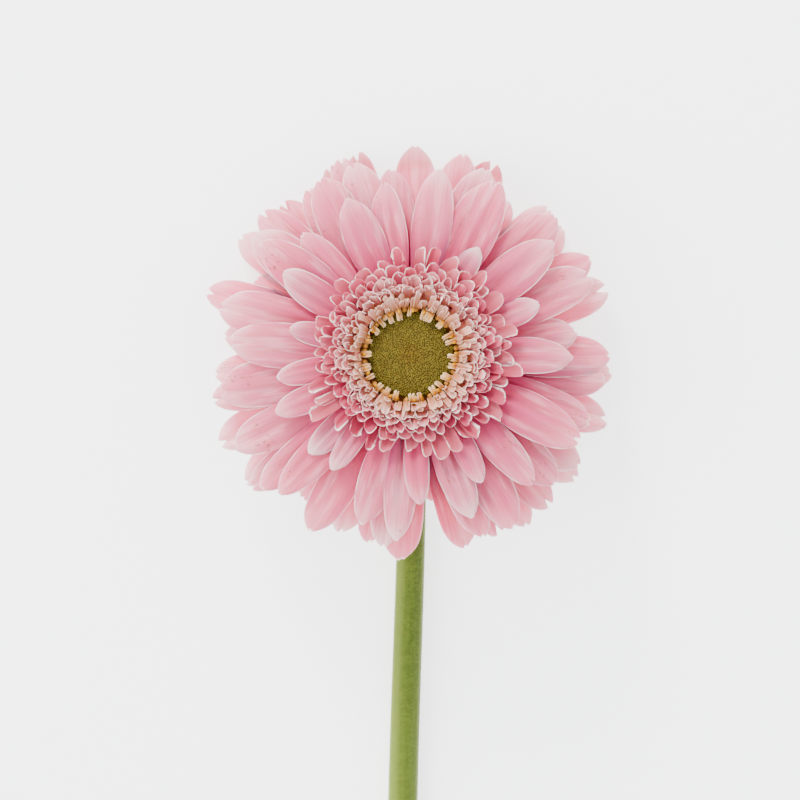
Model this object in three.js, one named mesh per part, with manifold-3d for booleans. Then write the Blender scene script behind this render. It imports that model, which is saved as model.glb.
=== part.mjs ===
// A cut gerbera laid on a table: a thick bare stem with a bent neck, a cup of green bracts, about eighty
// pink ray florets in five overlapping whorls, a ring of short cupped florets, a ring of cream two-lipped
// florets and a flat green eye of unopened buds. Millimetres, +Z up, the table is z = 0.
import * as THREE from "three";
import { mergeVertices } from "three/addons/utils/BufferGeometryUtils.js";
import Module from "manifold-3d";

const wasm = await Module();
wasm.setup();

// The head's own frame has its origin where the lowest rays are rooted, +Z out of the flower's face and
// +Y away from the stem. Bearings run clockwise from +Y as the face is looked at.
const HEAD_AT = [0.4, 140.1, 27]; // the head frame's origin above the table
const FACE_TIP = THREE.MathUtils.degToRad(20); // how far the face leans over, away from the stem
const FIT_GAP = 0.3; // between neighbouring pieces

// Stem
const NECK_RADIUS = 3.85;
const STEM_FOOT_RADIUS = 5;
const STEM_TOP_DEPTH = 12.3; // below the head frame's origin
const NECK_BEND = 18; // radius of the bend's centre line
const STEM_LENGTH = 326; // along the table, from under the head to the cut
const STEM_DRIFT = -6.5; // sideways, at the cut
const STEM_WAVE = 0.7; // how far the stem sways from that drift, most of all near the head
const STEM_SIDES = 12;
const CUT_SLANT = 0.9; // run of the slanted cut over its rise

// Cup of bracts
const CUP_RADIUS = 16;
const CUP_TOP = -1;

// Ray florets
const RAY_CORE_TOP = 6.2;
const RAY_ROOT = 12.6; // distance from the head's axis, inside the core
const BLADE = 0.7; // thickness of a ray's blade

// Centre
const EYE_RADIUS = 11.2;
const LIP_RING = [11.65, 12.8]; // inner and outer radius of the ring that carries the cream florets
const COLLAR_RING = [13.4, 15.4]; // the same for the short pink florets

// Rays as they are seen on the real head: [bearing in degrees, reach from the axis, width, cleft of the tip].
const RAYS = {
  rear: {
    rootHeight: 0.5,
    rise: 1,
    drop: 16.5,
    full: 3.4,
    blunt: 0.28,
    stations: [0, 0.5, 0.8, 0.94, 1],
    rays: [
      [1, 55.9, 11.6, 0.8], [23, 56.1, 11.4, 3.2], [50, 53.4, 11, 0.8], [71, 55.7, 11.4, 3.6],
      [95, 54, 11.6, 1.2], [108.5, 55.4, 10.8, 2.4], [127, 55.3, 9.6, 2], [145.5, 55.3, 9.8, 1.4],
      [164, 53.4, 10.6, 1], [193, 51.3, 8.6, 1.2], [202, 50.9, 9.6, 1.6], [217, 48.1, 9.4, 1.2],
      [232.5, 55.9, 10.4, 1.2], [245.8, 56.5, 10.4, 2.8], [264.5, 52.8, 10.2, 1.2], [288.5, 57.3, 10.8, 2.6],
      [305, 55.9, 11, 1.4], [320, 53.6, 10.4, 2.6], [336.5, 55.1, 10.2, 2], [344.6, 55.9, 9.4, 2.6],
    ],
  },
  back: {
    rootHeight: 1.6,
    rise: 2,
    drop: 11.5,
    full: 3.2,
    blunt: 0.28,
    stations: [0, 0.5, 0.8, 0.94, 1],
    rays: [
      [14.5, 55.4, 10.6, 1.2], [31.5, 48.6, 10, 1], [43, 53.8, 10.6, 1.6], [61.5, 54.4, 10.4, 0.8],
      [90, 52.9, 11.2, 1], [97.5, 52.1, 10.6, 1], [123.5, 53.6, 10.2, 1.2], [137.5, 54.6, 10.2, 3],
      [153.5, 53, 9.6, 3.2], [171, 42.8, 9, 1.2], [183, 54.4, 11.4, 0.8], [230, 55.2, 9.4, 1.6],
      [257.5, 54, 9.8, 2.2], [276, 49.9, 10.4, 1], [296, 46.2, 9.6, 1], [313.5, 55.2, 10.6, 2.8],
      [328, 52.1, 9.6, 1.2], [340, 55.6, 9.8, 2], [354, 49.8, 9.4, 1],
    ],
  },
  middle: {
    rootHeight: 2.8,
    rise: 4,
    drop: 8.5,
    full: 2.8,
    blunt: 0.26,
    stations: [0, 0.34, 0.64, 0.9, 1],
    rays: [
      [22, 53.2, 12, 1.2], [46, 52.9, 12.2, 0.8], [66, 51.7, 12, 3], [82, 44.2, 10, 1],
      [110.5, 50.5, 10.4, 1.2], [131.5, 51.2, 10.6, 1], [149, 53, 10.8, 1], [158.5, 51.6, 9.6, 1],
      [188, 51, 9.6, 1.6], [210, 53.6, 10.6, 0.8], [228.5, 52.9, 9.2, 0.8], [242.5, 52.6, 11, 1.2],
      [259.5, 51.4, 12.6, 2.4], [284.5, 52.2, 12.4, 2], [307.5, 52.4, 12.4, 1.6], [332.5, 52.4, 12.6, 1.2],
      [343.5, 52.9, 11.6, 2.2],
    ],
  },
  front: {
    rootHeight: 4,
    rise: 6.4,
    drop: 6,
    full: 2,
    blunt: 0.18,
    stations: [0, 0.34, 0.64, 0.9, 1],
    rays: [
      [8.5, 49.4, 10.6, 0.5], [26, 50.7, 13.6, 3], [51.5, 47.7, 11.6, 0.5], [91, 42.5, 9.6, 0.4],
      [117.5, 49.8, 11.6, 2.6], [136.5, 46.5, 9, 2.4], [159.5, 45.7, 9, 0.5], [185, 48.9, 7.8, 0.4],
      [196, 46.3, 9.8, 0.4], [223.5, 50.3, 9.4, 0.6], [273.5, 47.5, 12, 4.2], [306.5, 49.3, 11.4, 1],
      [318, 42.8, 9.2, 1], [337.5, 44.4, 10.6, 0.4], [350.5, 45.7, 9, 1.4],
    ],
  },
  short: {
    rootHeight: 4.4,
    rise: 5.6,
    drop: 2.6,
    full: 2.4,
    blunt: 0.28,
    stations: [0, 0.5, 0.84, 1],
    rays: [
      [32, 33, 6.6, 0.2], [68, 36.1, 7.2, 0.6], [151, 38.2, 6.4, 0.4], [177, 39, 6.6, 0.2],
      [214.5, 36.4, 6.2, 0.2], [225.5, 37.2, 7, 0.6], [247, 38.4, 7.2, 0.2], [260, 35.4, 6.6, 0.2],
      [282, 32.6, 6.2, 0.5], [302.5, 39.8, 8.6, 0.5],
    ],
  },
};

// The outermost short florets are uneven, so they are given as the rays are: [bearing, reach, width].
const COLLAR_EDGE = [
  [354, 28.2, 4.2], [6.8, 27.9, 3.4], [13, 28.6, 3.4], [25, 28.2, 4.2], [33, 26, 3.6], [41, 28.8, 3.2],
  [49, 26.2, 3.8], [58.5, 28.3, 4], [67, 26, 3.8], [76, 28.3, 3.8], [86, 26, 3.8], [94, 26.6, 3.8],
  [100.5, 29.4, 3.6], [108, 26, 3.8], [116, 27.2, 4], [125, 29, 4], [133, 26.4, 3.8], [141, 27.4, 3.8],
  [148, 26.2, 3.6], [154.5, 27.9, 3.6], [161.5, 28.3, 4], [169, 27, 3.4], [181, 25, 3.6], [194, 26.4, 3.4],
  [206, 27.2, 3.6], [218, 26, 3.8], [229, 27.4, 3.6], [236, 31, 4], [243.5, 27.6, 3.6], [251, 28.2, 3.4],
  [262, 25.2, 3.8], [272, 25.2, 3.8], [282, 25.6, 3.6], [291, 26.6, 4], [305.5, 25.8, 3.6],
  [314.5, 27.4, 3.6], [323.5, 25.2, 3.6], [333, 25.6, 3.6], [343, 25.6, 3.6],
];

// Rows of short florets from the outermost in: how many, how far they reach from the axis and how unevenly.
const COLLAR_ROWS = [
  { count: COLLAR_EDGE.length, rootHeight: 7.5, rise: 4.4, drop: 3 },
  { count: 32, reach: 23.2, ragged: 1, width: 3.8, rootHeight: 8.3, rise: 5, drop: 2.6 },
  { count: 30, reach: 21.3, ragged: 0.8, width: 3.6, rootHeight: 9, rise: 5.2, drop: 2 },
  { count: 28, reach: 19.5, ragged: 0.6, width: 3.3, rootHeight: 9.5, rise: 5.2, drop: 1.4 },
  { count: 26, reach: 17.8, ragged: 0.4, width: 3, rootHeight: 9.8, rise: 4.6, drop: 0.8 },
];

const COLLAR_LEAN = 0.035; // how much farther the rows reach on the side away from the stem

// A repeatable draw between 0 and 1 for the nth thing.
function draw(n) {
  const s = Math.sin(n * 12.9898 + 4.1414) * 43758.5453;
  return s - Math.floor(s);
}

// A repeatable draw between -1 and 1.
const sway = (n) => 2 * draw(n) - 1;

// Height of the table under a point of the head frame, along that frame's own Z.
const tableUnder = (y) => (y * Math.sin(FACE_TIP) - HEAD_AT[2]) / Math.cos(FACE_TIP);

// A solid from closed positions and triangles, turned face out if it came out reversed.
function solid(positions, triangles) {
  const make = (order) =>
    new wasm.Manifold(
      new wasm.Mesh({
        numProp: 3,
        vertProperties: new Float32Array(positions),
        triVerts: new Uint32Array(order),
      }),
    );
  const made = make(triangles);
  if (made.volume() > 0) return made;
  const turned = [];
  for (let i = 0; i < triangles.length; i += 3) turned.push(triangles[i], triangles[i + 2], triangles[i + 1]);
  return make(turned);
}

// Joins rings of the same even number of points into one closed skin. The first half of a ring is the top
// face and the second half runs back along the underside, split the same way as the top.
function loft(rings) {
  const n = rings[0].length;
  const positions = rings.flat(2);
  const triangles = [];
  for (let k = 0; k + 1 < rings.length; k++) {
    for (let i = 0; i < n; i++) {
      const [a, b] = [k * n + i, k * n + ((i + 1) % n)];
      const [c, d] = [b + n, a + n];
      if (i < n / 2) triangles.push(a, b, c, a, c, d);
      else triangles.push(a, b, d, b, c, d);
    }
  }
  const last = (rings.length - 1) * n;
  for (let i = 0; i + 1 < n / 2; i++) {
    const [a, b, c, d] = [i, i + 1, n - 2 - i, n - 1 - i];
    triangles.push(a, c, b, a, d, c, last + a, last + b, last + c, last + a, last + c, last + d);
  }
  return solid(positions, triangles);
}

// A three.js geometry as a solid, and a solid as a named three.js mesh.
function fromGeometry(geometry) {
  const bare = geometry.index ? geometry.toNonIndexed() : geometry.clone();
  bare.deleteAttribute("normal");
  bare.deleteAttribute("uv");
  const merged = mergeVertices(bare, 1e-3);
  return solid(merged.attributes.position.array, Array.from(merged.index.array));
}

function toMesh(name, made, colour, roughness) {
  const mesh = made.getMesh();
  const geometry = new THREE.BufferGeometry();
  const flat = new Float32Array(mesh.numVert * 3);
  for (let i = 0; i < mesh.numVert; i++) {
    flat.set(mesh.vertProperties.subarray(i * mesh.numProp, i * mesh.numProp + 3), i * 3);
  }
  geometry.setAttribute("position", new THREE.BufferAttribute(flat, 3));
  geometry.setIndex(new THREE.BufferAttribute(mesh.triVerts, 1));
  geometry.computeVertexNormals();
  const material = new THREE.MeshStandardMaterial({ color: colour, roughness, metalness: 0 });
  const out = new THREE.Mesh(geometry, material);
  out.name = name;
  return out;
}

// A solid turned round the head's axis from [radius, height] points.
function turned(profile, sides) {
  const points = profile.map(([r, z]) => new THREE.Vector2(r, z));
  return fromGeometry(new THREE.LatheGeometry(points, sides).rotateX(Math.PI / 2));
}

// Width along a ray as a share of its widest: a claw, widest past the middle, a rounded tip. The larger
// full is, the broader the tip stays; end is the share that is left at the tip itself.
function rounded(u, full, end) {
  const widest = 0.6;
  if (u < widest) return 0.3 + 0.7 * Math.sin(((Math.PI / 2) * u) / widest) ** 1.8;
  return Math.sqrt(1 - (1 - end ** 2) * ((u - widest) / (1 - widest)) ** full);
}

// The same for a bract: widest near its foot, running out to a point.
const lance = (u) => 0.12 + 0.88 * Math.sin(Math.PI * Math.min(1, 0.25 + 0.75 * u)) ** 0.8;

// One blade of a floret or bract, in the head frame. It runs out (or in) along its bearing from root to
// reach, its middle line at height(u), with the edges lifted by arch(u) and the whole rolled sideways.
function blade(b) {
  const bearing = THREE.MathUtils.degToRad(b.bearing);
  const [sin, cos] = [Math.sin(bearing), Math.cos(bearing)];
  const rings = b.stations.map((u) => {
    const step = 1e-3;
    const run = b.reach - b.root;
    const slope = (b.height(u + step) - b.height(u - step)) / (2 * step);
    const lean = Math.atan2(slope, Math.abs(run));
    const across = b.across.map((v) => {
      const side = (v * b.width * b.shape(u)) / 2;
      const cleft = u === 1 && v === 0 ? b.cleft : 0;
      const out = b.root + run * u - Math.sign(run) * cleft;
      return { side, out, up: b.height(u) + b.arch(u) * v * v + side * Math.tan(b.roll) };
    });
    const face = (sign) =>
      across.map(({ side, out, up }) => {
        const along = out - (Math.sign(run) * sign * Math.sin(lean) * b.thick) / 2;
        const [x, y] = [along * sin + side * cos, along * cos - side * sin];
        const rest = tableUnder(y) + (sign > 0 ? b.thick / Math.cos(FACE_TIP) : 0);
        return [x, y, Math.max(up + (sign * Math.cos(lean) * b.thick) / 2, rest)];
      });
    return [...face(1), ...face(-1).reverse()];
  });
  return loft(rings);
}

function rayFlorets() {
  const floor = CUP_TOP + FIT_GAP;
  const core = turned([[0, floor], [CUP_RADIUS, floor], [CUP_RADIUS, RAY_CORE_TOP], [0, RAY_CORE_TOP]], 24);
  const blades = [];
  let n = 0;
  for (const { rootHeight, rise, drop, full, blunt, stations, rays } of Object.values(RAYS)) {
    for (const [bearing, reach, width, cleft] of rays) {
      n += 1;
      const lift = 0.25 * sway(n);
      blades.push(
        blade({
          bearing,
          reach,
          width,
          cleft,
          root: RAY_ROOT,
          thick: BLADE,
          roll: THREE.MathUtils.degToRad(6 + 2 * sway(n + 500)),
          height: (u) => rootHeight + lift + rise * u - drop * u * u,
          arch: (u) => 0.6 - 1.4 * u,
          shape: (u) => rounded(u, full, blunt + 0.06 * cleft),
          stations,
          across: [-1, 0, 1],
        }),
      );
    }
  }
  return wasm.Manifold.union([core, ...blades]);
}

function collarFlorets() {
  const [inner, outer] = COLLAR_RING;
  const base = RAY_CORE_TOP + FIT_GAP;
  const ringTop = base + 3.9;
  const slope = [[outer, base + 3], [inner + 0.8, ringTop]];
  const parts = [turned([[inner, base], [outer, base], ...slope, [inner, ringTop], [inner, base]], 24)];
  COLLAR_ROWS.forEach((row, r) => {
    for (let i = 0; i < row.count; i++) {
      const n = 1000 + 100 * r + i;
      let bearing = ((i + 0.5 * (r % 2) + 0.16 * sway(n)) * 360) / row.count;
      const longer = 1 + COLLAR_LEAN * Math.cos(THREE.MathUtils.degToRad(bearing));
      let reach = row.reach * longer + row.ragged * sway(n + 10);
      let width = row.width * (1 + 0.08 * sway(n + 20));
      if (r === 0) [bearing, reach, width] = COLLAR_EDGE[i];
      parts.push(
        blade({
          bearing,
          root: (inner + outer) / 2,
          reach,
          width,
          cleft: -0.7,
          thick: 0.6,
          roll: THREE.MathUtils.degToRad(9 * sway(n + 30)),
          height: (u) => row.rootHeight + row.rise * u - row.drop * u * u,
          arch: (u) => 0.7 * u,
          shape: (u) => 0.5 + 0.35 * u,
          stations: [0, 1],
          across: r === 0 ? [-1, 0, 1] : [-1, 1],
        }),
      );
    }
  });
  return wasm.Manifold.union(parts);
}

// How near the eye's middle the inner lips come; on its left side they are shorter.
const teethReach = (bearing) => 9.3 + 1.6 * Math.exp(-(((bearing - 248) / 44) ** 2));

function creamFlorets() {
  const [inner, outer] = LIP_RING;
  const base = RAY_CORE_TOP + FIT_GAP;
  const top = 10.6;
  const parts = [turned([[inner, base], [outer, base], [outer, top], [inner, top], [inner, base]], 24)];
  const lip = (bearing, reach, rise, width, n) =>
    blade({
      bearing,
      root: (inner + outer) / 2,
      reach,
      width,
      cleft: 0,
      thick: 0.6,
      roll: THREE.MathUtils.degToRad(10 * sway(n)),
      height: (u) => top - 0.2 + rise * u - 1.1 * u * u,
      arch: () => 0,
      shape: () => 1,
      stations: [0, 1],
      across: [-1, 1],
    });
  const count = 24;
  for (let i = 0; i < count; i++) {
    const n = 2000 + i;
    const bearing = ((i + 0.2 * sway(n)) * 360) / count;
    parts.push(lip(bearing, teethReach(bearing) + 0.3 * sway(n + 40), 2.3, 1.7, n + 80));
    parts.push(lip(bearing + 7, 14.7 + 0.2 * sway(n + 120), 5.2, 2.2, n + 160));
  }
  return wasm.Manifold.union(parts);
}

// The eye: a low dome of buds, every other point of its grid raised.
function eye() {
  const [rows, columns, bud] = [10, 36, 0.42];
  const base = RAY_CORE_TOP + FIT_GAP;
  const dome = (share) => 9.7 - 1.1 * share ** 3;
  const positions = [0, 0, base, 0, 0, dome(0)];
  for (let k = 1; k <= rows; k++) {
    for (let j = 0; j < columns; j++) {
      const share = k / rows;
      const turn = ((j + 0.5 * (k % 2)) / columns) * 2 * Math.PI;
      const raised = k < rows && (j + (k >> 1)) % 2 === 0 ? bud : 0;
      const radius = EYE_RADIUS * share;
      positions.push(radius * Math.cos(turn), radius * Math.sin(turn), dome(share) + raised);
    }
  }
  const at = (k, j) => 2 + (k - 1) * columns + (j % columns);
  const foot = 2 + rows * columns;
  for (let j = 0; j < columns; j++) {
    const turn = ((j + 0.5 * (rows % 2)) / columns) * 2 * Math.PI;
    positions.push(EYE_RADIUS * Math.cos(turn), EYE_RADIUS * Math.sin(turn), base);
  }
  const triangles = [];
  for (let j = 0; j < columns; j++) {
    triangles.push(1, at(1, j), at(1, j + 1));
    for (let k = 1; k < rows; k++) {
      const shift = k % 2; // odd rows stand half a step on
      triangles.push(at(k, j), at(k + 1, j + shift), at(k, j + 1));
      triangles.push(at(k + 1, j), at(k + 1, j + 1), at(k, j + 1 - shift));
    }
    const [below, next] = [foot + j, foot + ((j + 1) % columns)];
    triangles.push(at(rows, j), below, next, at(rows, j), next, at(rows, j + 1), 0, next, below);
  }
  return solid(positions, triangles);
}

function cupOfBracts() {
  const side = [[4.8, -12], [8, -10.5], [11.8, -7], [14.8, -3.2], [CUP_RADIUS, CUP_TOP]];
  const parts = [turned([[0, -12], ...side, [0, CUP_TOP]], 24)];
  // From the foot of the cup up: how many, where they leave the cup, where they end, width.
  const whorls = [
    { count: 10, from: [5, -11.6], to: [14.2, -8], bow: 1.2, width: 3.8 },
    { count: 14, from: [7.4, -10.4], to: [18, -5], bow: 1.4, width: 3.6 },
    { count: 16, from: [10.8, -7.6], to: [21, -3.4], bow: 0.8, width: 3.2 },
  ];
  whorls.forEach(({ count, from, to, bow, width }, w) => {
    for (let i = 0; i < count; i++) {
      const n = 3000 + 50 * w + i;
      parts.push(
        blade({
          bearing: ((i + 0.5 * (w % 2) + 0.12 * sway(n)) * 360) / count,
          root: from[0],
          reach: to[0] + 0.8 * sway(n + 20),
          width,
          cleft: 0,
          thick: 0.8,
          roll: 0,
          height: (u) => from[1] + (to[1] - from[1]) * u - bow * Math.sin(Math.PI * u),
          arch: (u) => 0.5 * (1 - u),
          shape: lance,
          stations: [0, 0.5, 1],
          across: [-1, 1],
        }),
      );
    }
  });
  return wasm.Manifold.union(parts);
}

// The stem's middle line in the part's frame: down out of the cup, round the neck, then along the table.
function stemLine() {
  const face = new THREE.Vector3(0, Math.sin(FACE_TIP), Math.cos(FACE_TIP));
  const top = new THREE.Vector3(...HEAD_AT).addScaledVector(face, -STEM_TOP_DEPTH);
  const turn = Math.PI / 2 - FACE_TIP;
  const bend = Array.from({ length: 8 }, (_, i) => {
    const a = turn - (turn * i) / 7; // the line's dip below the horizontal
    return {
      y: top.y - NECK_BEND * (Math.sin(turn) - Math.sin(a)),
      z: top.z - NECK_BEND * (Math.cos(a) - Math.cos(turn)),
      dip: a,
    };
  });
  const end = bend[bend.length - 1];
  const foot = HEAD_AT[1] - STEM_LENGTH;
  const steps = 13;
  const lying = Array.from({ length: steps }, (_, i) => ({
    y: end.y + ((foot - end.y) * (i + 1)) / steps,
    z: end.z,
    dip: 0,
  }));
  return [...bend, ...lying];
}

function stem() {
  const line = stemLine();
  const share = (y) => (HEAD_AT[1] - y) / STEM_LENGTH;
  const flat = Math.cos(Math.PI / STEM_SIDES); // centre to flat of the section, over its radius
  const rings = line.map(({ y, z, dip }, k) => {
    const along = Math.max(0, share(y));
    const swell = 1 + 0.16 * Math.max(0, 1 - k / 4) ** 2; // the neck widens into the cup
    const radius = (NECK_RADIUS + (STEM_FOOT_RADIUS - NECK_RADIUS) * along) * swell;
    const wave = STEM_WAVE * (1 - along) * Math.sin((Math.PI * along) / 0.3);
    const x = HEAD_AT[0] + STEM_DRIFT * along ** 1.6 + wave;
    const cut = k === line.length - 1 ? CUT_SLANT : 0;
    const height = k < 8 ? z + (flat * radius - line[7].z) * (k / 7) : flat * radius;
    return Array.from({ length: STEM_SIDES }, (_, i) => {
      const a = ((i + 0.5) / STEM_SIDES) * 2 * Math.PI;
      const [side, up] = [radius * Math.sin(a), radius * Math.cos(a)];
      return [x + side, y - up * (Math.sin(dip) - cut), height + up * Math.cos(dip)];
    });
  });
  return loft(rings);
}

const gerbera = new THREE.Group();
const head = new THREE.Group();
head.position.set(...HEAD_AT);
head.rotation.x = -FACE_TIP;
head.add(
  toMesh("ray_florets", rayFlorets(), 0xe9b9c4, 0.6),
  toMesh("collar_florets", collarFlorets(), 0xe8bcc4, 0.6),
  toMesh("cream_florets", creamFlorets(), 0xe6d3c4, 0.6),
  toMesh("eye", eye(), 0x8a8034, 0.8),
  toMesh("bract_cup", cupOfBracts(), 0x6f8a3a, 0.7),
);
gerbera.add(head, toMesh("stem", stem(), 0x8a9f4e, 0.6));

export default gerbera;
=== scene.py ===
# %% [markdown]
# A cut gerbera, laid on a table and looked at face on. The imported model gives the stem, the cup of green
# bracts and every floret of the bloom as plain faceted solids. This lesson grows finer pieces in their
# places: thin petals with pleats and veins, cupped florets with pale rims, an eye of small buds and a
# stem with hairs. Everything is placed by the same sizes and rules as the solids, so the fine flower
# lies where the plain one does.

# %% Load the frame
import math

import bpy
import numpy as np
from mathutils import Matrix, Vector


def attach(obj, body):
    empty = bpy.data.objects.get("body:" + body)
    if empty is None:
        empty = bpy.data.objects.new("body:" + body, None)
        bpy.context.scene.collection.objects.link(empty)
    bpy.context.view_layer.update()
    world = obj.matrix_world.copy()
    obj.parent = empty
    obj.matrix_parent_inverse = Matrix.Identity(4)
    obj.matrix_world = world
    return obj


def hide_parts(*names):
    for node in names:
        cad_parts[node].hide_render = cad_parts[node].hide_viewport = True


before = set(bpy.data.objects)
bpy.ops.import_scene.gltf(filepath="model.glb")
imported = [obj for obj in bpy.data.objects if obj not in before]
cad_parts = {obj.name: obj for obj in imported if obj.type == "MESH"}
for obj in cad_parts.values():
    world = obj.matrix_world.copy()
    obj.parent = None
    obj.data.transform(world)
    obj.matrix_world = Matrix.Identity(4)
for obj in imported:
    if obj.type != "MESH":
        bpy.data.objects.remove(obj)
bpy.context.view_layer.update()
print("nodes in the frame:", ", ".join(sorted(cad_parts)))

# %% [markdown]
# The head has a frame of its own: its origin is where the lowest petals are rooted, Z comes out of the
# face and Y points away from the stem. The whole face leans over by 20 degrees. Working in that frame
# keeps each petal's rule simple, and one function carries the finished points to the table. Sizes are
# in millimetres until that last step.

# %% The head's place
HEAD_AT = (0.4, 140.1, 27.0)
FACE_TIP = math.radians(20)
MM = 0.001


def to_table(points):
    """Points of the head's frame, in mm, as points of the part's frame, in metres."""
    x, y, z = np.moveaxis(np.asarray(points, dtype=float), -1, 0)
    cos, sin = math.cos(FACE_TIP), math.sin(FACE_TIP)
    placed = (x + HEAD_AT[0], y * cos + z * sin + HEAD_AT[1], z * cos - y * sin + HEAD_AT[2])
    return np.stack(placed, axis=-1) * MM


def table_under(y):
    """How low the table is under a point of the head's frame, along that frame's Z."""
    return (y * math.sin(FACE_TIP) - HEAD_AT[2]) / math.cos(FACE_TIP)


# %% [markdown]
# The photograph looks straight into the face from some way off, with a long lens that hardly
# foreshortens anything. The camera stands on the face's own axis, 0.8 m away, and is aimed a little
# below and to the left of the eye so that the stem runs out of the picture.

# %% Camera
CAMERA_FAR = 800.0
AIM = (-2.9, -11.7, 0.0)
LENS = 138.0
SENSOR = 36.0


def put(name, data):
    """A new object of that mesh, light or camera, in the scene."""
    thing = bpy.data.objects.new(name, data)
    bpy.context.scene.collection.objects.link(thing)
    return thing


face_out = Vector((0, math.sin(FACE_TIP), math.cos(FACE_TIP)))
face_up = Vector((0, math.cos(FACE_TIP), -math.sin(FACE_TIP)))
camera = put("camera", bpy.data.cameras.new("camera"))
camera.data.lens = LENS
camera.data.sensor_width = SENSOR
turned = Matrix((Vector((1, 0, 0)), face_up, face_out)).transposed().to_4x4()
camera.matrix_world = Matrix.Translation(Vector(to_table(AIM)) + face_out * CAMERA_FAR * MM) @ turned
bpy.context.scene.camera = camera
print("camera at", [round(v, 3) for v in camera.matrix_world.translation])

# %% [markdown]
# A finish is a node tree. One helper turns a colour as it is written in paint charts into the linear
# light that Blender mixes, and one adds a node with its settings and links. With them a finish is built
# as a painter would: a ground colour, then glazes, each laid where some value of the mesh is high or low.

# %% Colour and node helpers


def paint(chart):
    """An sRGB hex colour as linear RGBA."""
    shares = [int(chart[i : i + 2], 16) / 255 for i in (1, 3, 5)]
    return [s / 12.92 if s <= 0.04045 else ((s + 0.055) / 1.055) ** 2.4 for s in shares] + [1.0]


def fill(tree, node, inputs):
    """Each input gets a link, a number, a chart colour or, by its name, a value that the mesh carries."""
    for name, value in inputs.items():
        if isinstance(value, str) and not value.startswith("#"):
            value = add(tree, "ShaderNodeAttribute", out="Fac", attribute_name=value)
        if isinstance(value, bpy.types.NodeSocket):
            tree.links.new(value, node.inputs[name])
        else:
            node.inputs[name].default_value = paint(value) if isinstance(value, str) else value


def add(tree, kind, inputs=None, out=0, stops=(), **settings):
    """Adds a node with its settings, inputs and, for a ramp, colour stops, and gives one output of it."""
    node = tree.nodes.new(kind)
    for name, value in settings.items():
        setattr(node, name, value)
    fill(tree, node, inputs or {})
    if stops:
        elements = node.color_ramp.elements
        while len(elements) < len(stops):
            elements.new(0.5)
        for element, (at, chart) in zip(elements, stops):
            element.position = at
            element.color = paint(chart)
    return node.outputs[out]


def finish(name, constants):
    """A new material: its tree and its surface shader, with the shader's constant values set."""
    material = bpy.data.materials.new(name)
    material.use_nodes = True
    shader = material.node_tree.nodes["Principled BSDF"]
    fill(material.node_tree, shader, constants)
    return material, material.node_tree, shader


def stretched(tree, *ranges):
    """A product of values. A range is a value, its low and high ends, and what these turn into, or 0, 1."""
    product = None
    for source, low, high, *ends in ranges:
        to_low, to_high = ends or (0, 1)
        limits = {"Value": source, "From Min": low, "From Max": high, "To Min": to_low, "To Max": to_high}
        value = add(tree, "ShaderNodeMapRange", limits, interpolation_type="SMOOTHSTEP")
        if product is None:
            product = value
        else:
            product = add(tree, "ShaderNodeMath", {0: product, 1: value}, operation="MULTIPLY")
    return product


def glazed(tree, skin, *glazes):
    """A skin under glazes. Each is a colour and the ranges whose product says how strong it is."""
    for colour, *ranges in glazes:
        share = stretched(tree, *ranges)
        skin = add(tree, "ShaderNodeMix", {0: share, 6: skin, 7: colour}, out=2, data_type="RGBA")
    return skin


# %% [markdown]
# The studio is a pale table that goes on past the picture's edges. It has to look paler than any lit
# board would, so the board glows a little, like a light table. A small softbox above and a little to the
# left gives the petals their soft-edged shadows, a large panel on the left lights the side of the stem,
# and a bright plain sky opens the shadows. The lights are strong because the renderer's film curve rolls
# bright tones off: only then does the pale table look nearly white.

# %% Table and light
TABLE_HALF = 3.0
BOARD_WHITE = "#f8faf9"
BOARD_GLOW = 2.0
SKY_WHITE = "#f6f9fb"
SKY_STRENGTH = 2.1

table_mesh = bpy.data.meshes.new("table_top")
corners = [(x * TABLE_HALF, y * TABLE_HALF, 0) for x, y in ((-1, -1), (1, -1), (1, 1), (-1, 1))]
table_mesh.from_pydata(corners, [], [(0, 1, 2, 3)])
table_top = put("table_top", table_mesh)
board_looks = {"Base Color": BOARD_WHITE, "Roughness": 0.8}
board_looks.update({"Emission Color": BOARD_WHITE, "Emission Strength": BOARD_GLOW})
table_mesh.materials.append(finish("painted_board", board_looks)[0])

sky = bpy.data.worlds.new("studio_sky")
sky.use_nodes = True
fill(sky.node_tree, sky.node_tree.nodes["Background"], {"Color": SKY_WHITE, "Strength": SKY_STRENGTH})
bpy.context.scene.world = sky


def softbox(name, at, side, power, chart):
    """A square light panel of that side, in metres, aimed at the bloom."""
    lamp = put(name, bpy.data.lights.new(name, "AREA"))
    lamp.data.size = side
    lamp.data.energy = power
    lamp.data.color = paint(chart)[:3]
    lamp.location = at
    towards = Vector(to_table((0, 0, 0))) - Vector(at)
    lamp.rotation_euler = towards.to_track_quat("-Z", "Y").to_euler()
    print(f"softbox {name}: {side} m wide, {power} W, {towards.length:.2f} m away")


softbox("key", at=(-0.45, 1.6, 0.75), side=0.4, power=46, chart="#fffcf6")
softbox("side_panel", at=(-1.4, -0.1, 1.25), side=1.3, power=36, chart="#fcfcfd")

# %% [markdown]
# No two petals are alike, yet the flower must come out the same each time. The solids draw each
# floret's small differences from a fixed formula of its number, and the same formula is used here.

# %% Repeatable differences


def draw(n):
    """A repeatable number between 0 and 1 for the nth thing."""
    s = math.sin(n * 12.9898 + 4.1414) * 43758.5453
    return s - math.floor(s)


def sway(n):
    """A repeatable number between -1 and 1."""
    return 2 * draw(n) - 1


# %% [markdown]
# Every petal, floret lip and bract is a thin closed sheet. It could be a flat plane with a Solidify
# modifier, but building both faces by hand lets the sheet thin out towards its edge and carries values
# for the finish: how far along and across a point lies, how far in from the edge, and a chance value
# that is the same over the whole petal.

# %% Thin sheets


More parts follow.
